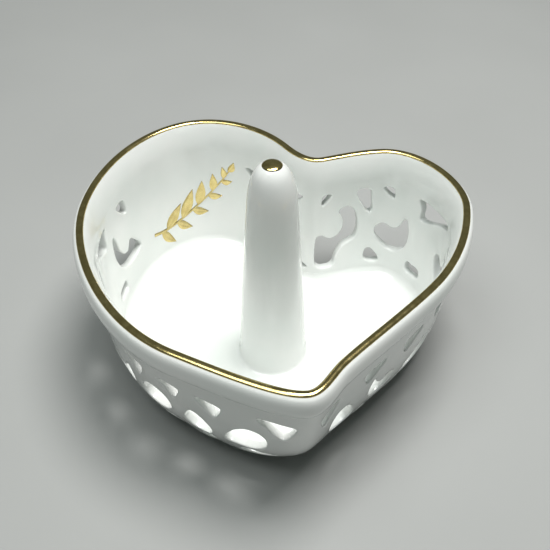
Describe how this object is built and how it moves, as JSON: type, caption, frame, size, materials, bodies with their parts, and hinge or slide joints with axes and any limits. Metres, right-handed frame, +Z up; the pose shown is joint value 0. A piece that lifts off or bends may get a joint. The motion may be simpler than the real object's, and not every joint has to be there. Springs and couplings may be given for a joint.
{
  "type": "heart-shaped ring dish",
  "caption": "Open heart-shaped porcelain dish with a pierced wall, a rolled rim with a gold line and a tall post that holds finger rings.",
  "frame": {"origin": "on the table under the middle of the dish's box", "axes": "+Z up, -Y towards the heart's tip, +X towards the smaller lobe's side"},
  "size_m": [0.094, 0.093, 0.0632],
  "materials": {
    "porcelain": "clear gloss glaze over white porcelain",
    "bisque_foot": "unglazed, ground flat",
    "fired_gold": "polished fired gold, about a tenth of a millimetre thick"
  },
  "bodies": {
    "root": {"foot_ring": "bisque_foot", "dish_floor": "porcelain", "pierced_wall": "porcelain", "rim_roll": "porcelain", "gold_rim_line": "fired_gold", "gold_sprig": "fired_gold", "ring_post": "porcelain", "post_gold_cap": "fired_gold"}
  },
  "joints": []
}
